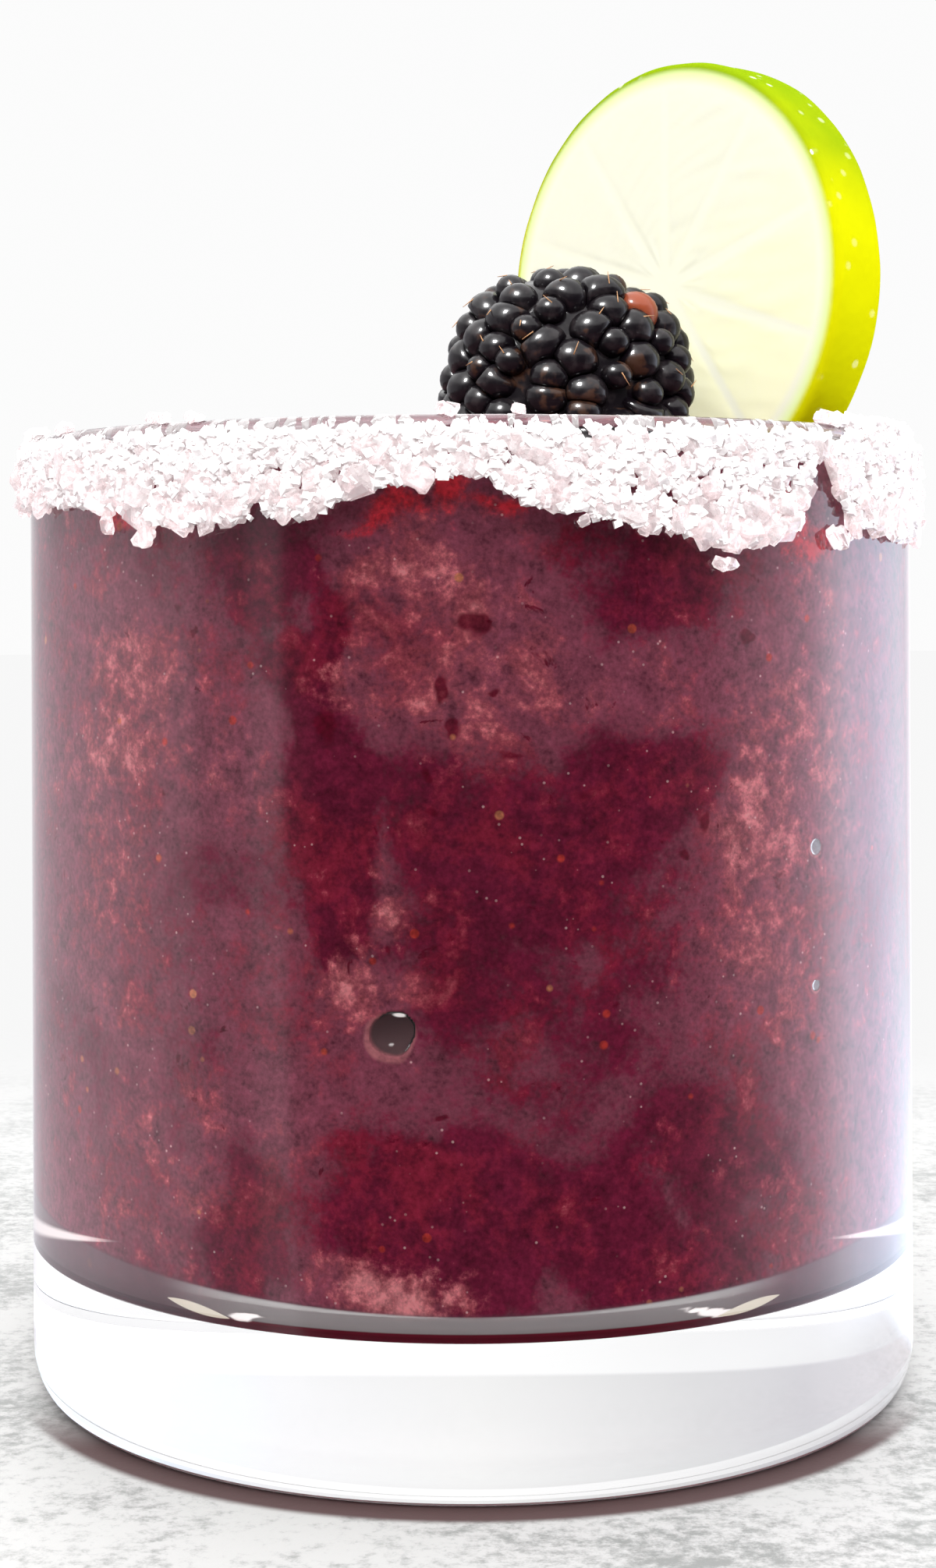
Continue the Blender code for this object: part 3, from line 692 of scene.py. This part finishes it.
def add_grain(crust, draw, kinds, spot, size):
    """Adds one grain to the crust, lying flat against the glass but for a small tilt."""
    turn = Matrix.Translation(spot) @ Vector((spot.x, spot.y, 0)).to_track_quat("Z", "Y").to_matrix().to_4x4()
    turn @= Matrix.Rotation(draw.gauss(0, GRAIN_TILT), 4, "X") @ Matrix.Rotation(draw.gauss(0, GRAIN_TILT), 4, "Y")
    turn @= Matrix.Rotation(draw.uniform(0, math.tau), 4, "Z")
    thickness = min(draw.uniform(*GRAIN_THICKNESS), size)
    turn @= Matrix.Diagonal((size, size * draw.uniform(0.65, 1.0), thickness, 1.0))
    mesh = draw.choice(kinds).copy()
    mesh.transform(turn)
    for vert in mesh.vertices:
        place = vert.co.copy()
        clear_of_glass(place)
        vert.co = place
    crust.from_mesh(mesh)
    bpy.data.meshes.remove(mesh)


def in_gap(angle, down):
    """Whether a place in the crust is one of the small gaps that show the drink."""
    place = Vector((math.radians(angle) * GLASS_RADIUS, down, GLASS_HEIGHT)) / GAP_SPACING
    return noise.noise(place) + 0.5 * noise.noise(place * 2.7) < GAP_BELOW


def salt_material(name, clearness, tint, white):
    """Frosted white salt, more or less see-through. Its glow is the light that wanders through the crust."""
    material, shader, spot = new_material(
        name, IOR=1.54, Transmission_Weight=clearness, Emission_Color=SALT_GLOW, Emission_Strength=0.13
    )
    frost = spot.noise(0.9 * MM, detail=3)
    frost.step(0.4, 0.6).between(tint, white).to(shader.inputs["Base Color"])
    (frost * 0.5 - 0.08).to(shader.inputs["Roughness"])
    bump = frost.node("Bump", inputs={"Height": frost, "Distance": 0.1 * MM, "Strength": 0.5})
    bump.to(shader.inputs["Normal"])
    return material


crystal_salt = salt_material("crystal_salt", 0.88, (0.88, 0.83, 0.835), (0.98, 0.97, 0.97))
fine_salt = salt_material("fine_salt", 0.2, (0.63, 0.615, 0.616), (0.82, 0.81, 0.81))
draw = random.Random(SALT_SEED)
blocks = grain_kinds(draw, GRAIN_BEVEL)
chips = grain_kinds(draw, 0)
shape = bmesh.new()
for number in range(COARSE_GRAINS):
    at_edge = draw.random() < LOWEST_SHARE
    small, large = GRAIN_LOW if at_edge else GRAIN_HIGH
    size = small + (large - small) * draw.random() ** 1.6
    angle = (number * GOLDEN_ANGLE + draw.uniform(-2, 2)) % 360 - 180
    bare = CLEAN_LIP[0] < angle < CLEAN_LIP[1]
    highest = size * 0.4 + (CLEAN_DEPTH if bare else 0.2 * MM)
    around = math.radians(angle) * GLASS_RADIUS
    lowest = salt_hang(angle) - size * 0.4 + HANG_UNEVEN * noise.noise(Vector((around / LOWEST_BAND, 0, 0)))
    down = lowest - LOWEST_BAND * draw.random() ** 2 if at_edge else highest + (lowest - highest) * draw.random()
    if draw.random() < salt_hang(angle) / MOST_HANG and not in_gap(angle, down):
        spot = at_rim(angle, GLASS_RADIUS + draw.uniform(0.25, 0.7) * MM, GLASS_HEIGHT - max(down, highest))
        add_grain(shape, draw, blocks, spot, size)
for angle, size in LIP_CLUMPS:
    for _ in range(5):
        spot = at_rim(angle + draw.uniform(-1.2, 1.2), GLASS_RADIUS - lip * draw.uniform(0.2, 1.4), GLASS_HEIGHT)
        add_grain(shape, draw, blocks, spot + Vector((0, 0, draw.uniform(0.1, 0.6) * MM)), size * draw.uniform(0.5, 0.8) * MM)
for angle, down, size in LOOSE_GRAINS:
    for _ in range(2):
        spot = at_rim(angle + draw.uniform(-1, 1), GLASS_RADIUS + 0.5 * MM, GLASS_HEIGHT - down * MM)
        add_grain(shape, draw, blocks, spot, size * draw.uniform(0.7, 1.0) * MM)
crystals = new_piece("salt_coarse_grains", shape, crystal_salt, smooth=False)
shape = bmesh.new()
for number in range(FINE_GRAINS):
    size = draw.uniform(*GRAIN_FINE)
    angle = draw.uniform(-180, 180)
    bare = CLEAN_LIP[0] < angle < CLEAN_LIP[1]
    highest = CLEAN_DEPTH * draw.uniform(0.6, 1.4) if bare else -0.5 * MM
    down = highest + (salt_hang(angle) - 0.5 * MM - highest) * draw.random() ** 1.5
    radius = GLASS_RADIUS + draw.uniform(0.1, 0.8) * MM if down > lip else GLASS_RADIUS - lip * draw.random()
    if draw.random() < salt_hang(angle) / MOST_HANG and not in_gap(angle, down):
        add_grain(shape, draw, chips, at_rim(angle, radius, GLASS_HEIGHT - down), size)
crumbs = new_piece("salt_fine_grains", shape, fine_salt, smooth=False)
for piece in (crystals, crumbs):
    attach(piece, "root")
    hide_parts("salt_rim")


# The lime wheel: one crosswise slice of a ripe lime, stood upright in the drink. Pale, moist flesh in ten segments
# between thin membranes, with white pith and a thin glossy rind that is green on top and turns yellow.
LIME_RADIUS = 23.3 * MM
LIME_THICKNESS = 7.0 * MM
LIME_CENTRE = Vector((23.2, 22.0, 106.4)) * MM
LIME_TURN = math.radians(-47.8)
LIME_EDGE_ROUND = 1.0 * MM
LIME_STEPS = 300
LIME_ROW = 0.45 * MM
SEGMENTS = 10
SEGMENT_INNER = 2.2 * MM
SEGMENT_OUTER = 20.4 * MM
MEMBRANE = 0.6 * MM
SEGMENT_RISE = 0.03 * MM
SAC_LENGTH = 4.5 * MM
SAC_WIDTH = 1.5 * MM
FLESH = (0.47, 0.47, 0.385)
FLESH_LOW_RIGHT = (0.53, 0.525, 0.36)
PITH = (0.49, 0.49, 0.40)
PITH_GREEN = (0.43, 0.50, 0.22)
RIND_GREEN = (0.13, 0.20, 0.003)
RIND_YELLOW = (0.37, 0.365, 0.001)

half = LIME_THICKNESS / 2
flat = LIME_RADIUS - LIME_EDGE_ROUND
rows = round(flat / LIME_ROW)
outline = [(flat * row / rows, half) for row in range(rows)]
outline += arc(flat, half - LIME_EDGE_ROUND, LIME_EDGE_ROUND, LIME_EDGE_ROUND, 90, 0, 5)
low = [(radius, -height) for radius, height in reversed(outline)]
sides = round((LIME_THICKNESS - 2 * LIME_EDGE_ROUND) / LIME_ROW)
span = 2 * outline[-1][1]
outline += [(LIME_RADIUS, span * (0.5 - row / sides)) for row in range(1, sides)]
outline += low
shape = turned(outline, LIME_STEPS)
for vert in shape.verts:
    radius = math.hypot(vert.co.x, vert.co.y)
    angle = math.atan2(vert.co.y, vert.co.x)
    place = Vector((vert.co.x, vert.co.y, vert.co.z))
    if abs(vert.co.z) > half - 0.01 * MM and radius < flat:
        wedge = (angle / math.tau * SEGMENTS + 0.5) % 1 - 0.5
        from_membrane = (0.5 - abs(wedge)) * math.tau / SEGMENTS * radius
        inside = min(from_membrane - MEMBRANE / 2, SEGMENT_OUTER - radius, (radius - SEGMENT_INNER))
        rise = max(0.0, min(inside / (0.8 * MM), 1.0))
        rise = rise * rise * (3 - 2 * rise)
        sacs = Vector((radius / SAC_LENGTH, angle * radius / SAC_WIDTH if radius > 5 * MM else angle * 5, vert.co.z / MM))
        plump = noise.noise(sacs)
        vert.co.z += math.copysign((SEGMENT_RISE + 0.05 * MM * plump) * rise, vert.co.z)
    elif radius > flat:
        vert.co += place.normalized() * 0.1 * MM * noise.noise(place / (4 * MM))
bmesh.ops.rotate(shape, verts=shape.verts, matrix=Matrix.Rotation(math.pi / 2, 3, "X"))
bmesh.ops.rotate(shape, verts=shape.verts, matrix=Matrix.Rotation(LIME_TURN, 3, "Z"))
bmesh.ops.translate(shape, verts=shape.verts, vec=LIME_CENTRE)

lime, shader, spot = new_material(
    "lime", IOR=1.4, Specular_IOR_Level=0.0, Subsurface_Weight=0.1, Subsurface_Scale=0.6 * MM, Coat_Roughness=0.15
)
shader.inputs["Subsurface Radius"].default_value = (1.0, 1.0, 0.45)
local = spot.node(
    "Mapping",
    {"vector_type": "TEXTURE"},
    {"Vector": spot, "Location": LIME_CENTRE, "Rotation": (math.pi / 2, 0, LIME_TURN)},
)
along, upward, through = local.axes()
radius = (along * along + upward * upward) ** 0.5
angle = local.maths("ARCTAN2", upward, along)
wedge = local.maths("FRACT", angle * (SEGMENTS / math.tau) + 0.5) - 0.5
from_membrane = (0.5 - local.maths("ABSOLUTE", wedge)) * radius * (math.tau / SEGMENTS)
flesh_share = from_membrane.step(MEMBRANE * 0.2, MEMBRANE * 1.4)
flesh_share = flesh_share * radius.step(SEGMENT_OUTER + 0.6 * MM, SEGMENT_OUTER - 0.4 * MM)
flesh_share = flesh_share * radius.step(SEGMENT_INNER - 0.5 * MM, SEGMENT_INNER + 0.8 * MM)
sac_place = local.node("CombineXYZ", inputs={0: radius / SAC_LENGTH, 1: angle * (12 * MM / SAC_WIDTH), 2: through})
sacs = sac_place.cells(1.0)
# The flesh turns lighter and yellower towards the lower right of the slice
low_right = (along - upward * 1.3) / (2 * LIME_RADIUS) + local.noise(7 * MM, detail=3) * 0.5 + sacs * 0.15
flesh = low_right.step(0.15, 0.85).between(FLESH, FLESH_LOW_RIGHT)
face_colour = flesh_share.between(PITH, flesh)
green_edge = radius.step(LIME_RADIUS - 2.6 * MM, LIME_RADIUS - 0.9 * MM)
face_colour = green_edge.between(face_colour, PITH_GREEN)
ripe = (local.noise(9 * MM, detail=2) * 0.35 + upward / (2 * LIME_RADIUS) + 0.30).step(0.45, 0.95)
rind = ripe.between(RIND_YELLOW, RIND_GREEN)
rind_share = radius.step(LIME_RADIUS - 1.3 * MM, LIME_RADIUS - 0.5 * MM)
pores = local.cells(1.1 * MM)
rind_share.between(face_colour, rind).to(shader.inputs["Base Color"])
(0.35 - rind_share * 0.08).to(shader.inputs["Roughness"])
glints = local.cells(2.3 * MM).step(0.24, 0.12) * rind_share
glints.to(shader.inputs["Coat Weight"])
relief = sacs * flesh_share * 0.05 + pores * rind_share * 0.3
bump = relief.node("Bump", inputs={"Height": relief, "Distance": 0.25 * MM, "Strength": 0.5})
bump.to(shader.inputs["Normal"])
wheel = new_piece("lime_slice", shape, lime)
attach(wheel, "root")
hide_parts("lime_wheel")


# The bramble: one large ripe berry, half sunk in the drink with its tip up. Glossy near-black drupelets, pressed
# flat where they touch, with dried brown styles on some.
BRAMBLE_RADIUS = 12.7 * MM
BRAMBLE_HALF_HEIGHT = 13.5 * MM
BRAMBLE_ROUNDNESS = 2.4
BRAMBLE_CENTRE = Vector((9.6, 4.0, 93.2)) * MM
BRAMBLE_LEAN = math.radians(6)
DRUPELETS = 140
DRUPELET_RADIUS = 2.0 * MM
DRUPELET_SPREAD = 0.30
LOWEST_DRUPELET = -0.75
TIP_DRUPELETS = 9
CREVICE = 0.06 * MM
BRAMBLE_SEED = 7
UNRIPE_PLACE = Vector((5.5, -5.7, 8.7)) * MM
STYLES = 46
STYLE_LENGTH = 1.3 * MM
STYLE_RADIUS = 0.07 * MM
BERRY_BLACK = (0.003, 0.002, 0.003)
BERRY_GREY = (0.014, 0.011, 0.012)
BERRY_RED = (0.16, 0.035, 0.015)
BERRY_BROWN = (0.045, 0.018, 0.008)
STYLE_BROWN = (0.20, 0.09, 0.035)


def bramble_radius(height, grow=0.0):
    """The berry's outer radius at a height above its middle."""
    reach = min(abs(height) / (BRAMBLE_HALF_HEIGHT + grow), 1.0)
    return (BRAMBLE_RADIUS + grow) * (1 - reach**BRAMBLE_ROUNDNESS) ** (1 / BRAMBLE_ROUNDNESS)


draw = random.Random(BRAMBLE_SEED)
centres = []
for number in range(DRUPELETS):
    share = 1 - (1 - LOWEST_DRUPELET) * (number + 0.3) / DRUPELETS
    radius = DRUPELET_RADIUS * (1 + DRUPELET_SPREAD * draw.uniform(-1, 1))
    height = (BRAMBLE_HALF_HEIGHT - radius) * share
    reach = (bramble_radius(height * 1.08) - radius) * min(math.sqrt((number + 0.3) / TIP_DRUPELETS), 1.0)
    turn = math.radians(number * GOLDEN_ANGLE + draw.uniform(-9, 9))
    centres.append((Vector((reach * math.cos(turn), reach * math.sin(turn), height)), radius))

unripe_centre = min((centre for centre, radius in centres), key=lambda centre: (centre - UNRIPE_PLACE).length)
into_place = Matrix.Translation(BRAMBLE_CENTRE) @ Matrix.Rotation(BRAMBLE_LEAN, 4, "Y")
shape = bmesh.new()
ripeness = shape.verts.layers.float.new("ripeness")
for centre, radius in centres:
    out = centre.normalized().to_track_quat("Z", "Y").to_matrix().to_4x4()
    place = Matrix.Translation(centre) @ out @ Matrix.Diagonal((1.08, 0.95, 1.0, 1.0))
    made = bmesh.ops.create_icosphere(shape, subdivisions=3, radius=radius, matrix=place)
    near = [(c, r) for c, r in centres if c is not centre and (c - centre).length < radius + r]
    unripe = 1.0 if centre is unripe_centre else 0.0
    for vert in made["verts"]:
        for other, other_radius in near:
            towards = (other - centre).normalized()
            reach = (other - centre).length * radius / (radius + other_radius) - CREVICE
            over = (vert.co - centre).dot(towards) - reach
            if over > 0:
                vert.co -= towards * over * 0.92
        vert[ripeness] = unripe
bmesh.ops.transform(shape, matrix=into_place, verts=shape.verts)

berry, shader, spot = new_material(
    "bramble", IOR=1.45, Specular_IOR_Level=0.05, Coat_Weight=0.3, Coat_Roughness=0.15
)
unripe = spot.node("Attribute", {"attribute_name": "ripeness"}, output="Fac")
bloom = spot.noise(1.2 * MM, detail=3)
skin = bloom.step(0.45, 0.75).between(BERRY_BLACK, BERRY_GREY)
dried = (spot.noise(3.5 * MM, detail=3) * 0.7 + bloom * 0.3).step(0.57, 0.63) * 0.5
unripe.between(dried.between(skin, BERRY_BROWN), BERRY_RED).to(shader.inputs["Base Color"])
(0.3 + bloom * 0.2).to(shader.inputs["Roughness"])
bump = bloom.node("Bump", inputs={"Height": bloom, "Distance": 0.12 * MM, "Strength": 0.4})
bump.to(shader.inputs["Normal"])
drupelets = new_piece("bramble_drupelets", shape, berry)

points = []
for ring in range(17):
    height = (BRAMBLE_HALF_HEIGHT - DRUPELET_RADIUS) * math.cos(math.pi * ring / 16)
    points.append((bramble_radius(height * 1.1) * 0.84, height))
points[0] = (0.0, points[0][1])
points[-1] = (0.0, points[-1][1])
shape = turned(points, 48)
bmesh.ops.transform(shape, matrix=into_place, verts=shape.verts)
core = new_piece("bramble_core", shape, berry)

brown, shader, spot = new_material("dried_style", Roughness=0.7)
spot.noise(0.5 * MM).between(STYLE_BROWN, (0.35, 0.2, 0.1)).to(shader.inputs["Base Color"])
shape = bmesh.new()
for centre, radius in draw.sample(centres[:70], STYLES):
    out = (centre.normalized() + Vector([draw.uniform(-0.3, 0.3) for _ in range(3)])).normalized()
    lie = out.to_track_quat("Z", "Y").to_matrix().to_4x4()
    tilt = Matrix.Rotation(draw.uniform(1.3, 1.7), 4, "X")
    lie = Matrix.Translation(centre + out * radius * 0.98) @ lie @ Matrix.Rotation(draw.uniform(0, math.tau), 4, "Z")
    lie = lie @ tilt @ Matrix.Translation((0, 0, STYLE_LENGTH / 2))
    bmesh.ops.create_cone(
        shape, cap_ends=True, segments=6, radius1=STYLE_RADIUS, radius2=STYLE_RADIUS * 0.4,
        depth=STYLE_LENGTH * draw.uniform(0.6, 1.2), matrix=lie,
    )
bmesh.ops.transform(shape, matrix=into_place, verts=shape.verts)
styles = new_piece("bramble_styles", shape, brown)
for piece in (drupelets, core, styles):
    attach(piece, "root")
    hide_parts("bramble")
lit_by_glint = bpy.data.collections.new("lit_by_glint")
for piece in (drupelets, wheel):
    lit_by_glint.objects.link(piece)
glint.light_linking.receiver_collection = lit_by_glint
